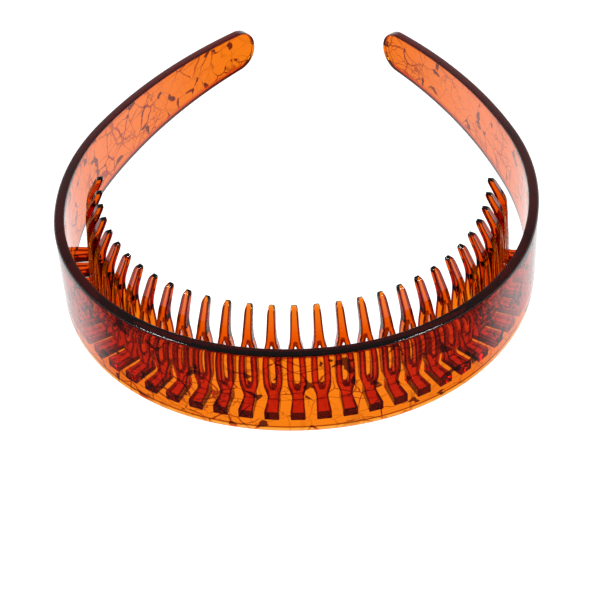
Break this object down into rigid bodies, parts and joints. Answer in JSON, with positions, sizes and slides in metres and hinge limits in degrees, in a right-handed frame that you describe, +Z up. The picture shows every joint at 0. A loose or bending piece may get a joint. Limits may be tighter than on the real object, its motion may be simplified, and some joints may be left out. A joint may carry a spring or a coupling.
{
  "type": "comb headband",
  "caption": "C-shaped hair band of clear amber resin, wide at the crown and tapering to rounded tips, with a row of forked comb teeth inside.",
  "frame": {"origin": "under the middle of the whole object, on the plane of the band's lower edge, which it stands on", "axes": "+Z up, across the band's width; +Y from the crown towards the two tips; +X to the right seen with the crown nearest"},
  "size_m": [0.1288, 0.1562, 0.0306],
  "materials": {
    "amber_resin": "polished, transparent, with dark veins"
  },
  "bodies": {
    "crown": {"band_crown": "amber_resin", "tooth_09": "amber_resin", "tooth_10": "amber_resin", "tooth_11": "amber_resin", "tooth_12": "amber_resin", "tooth_13": "amber_resin", "tooth_14": "amber_resin", "tooth_15": "amber_resin", "tooth_16": "amber_resin", "tooth_17": "amber_resin", "tooth_18": "amber_resin", "tooth_19": "amber_resin", "tooth_20": "amber_resin", "tooth_21": "amber_resin", "tooth_22": "amber_resin"},
    "left_arm": {"band_left_arm": "amber_resin", "tooth_01": "amber_resin", "tooth_02": "amber_resin", "tooth_03": "amber_resin", "tooth_04": "amber_resin", "tooth_05": "amber_resin", "tooth_06": "amber_resin", "tooth_07": "amber_resin", "tooth_08": "amber_resin"},
    "right_arm": {"band_right_arm": "amber_resin", "tooth_23": "amber_resin", "tooth_24": "amber_resin", "tooth_25": "amber_resin", "tooth_26": "amber_resin", "tooth_27": "amber_resin", "tooth_28": "amber_resin", "tooth_29": "amber_resin", "tooth_30": "amber_resin"}
  },
  "joints": [
    {"name": "left_arm_flex", "type": "hinge", "parent": "crown", "child": "left_arm", "pos_m": [-0.04289, -0.06276, 0.013], "axis": [0, 0, 1], "range_deg": [-4, 20], "stiffness_Nm_per_rad": 0.8},
    {"name": "right_arm_flex", "type": "hinge", "parent": "crown", "child": "right_arm", "pos_m": [0.0442, -0.06159, 0.013], "axis": [0, 0, -1], "range_deg": [-4, 20], "stiffness_Nm_per_rad": 0.8}
  ]
}
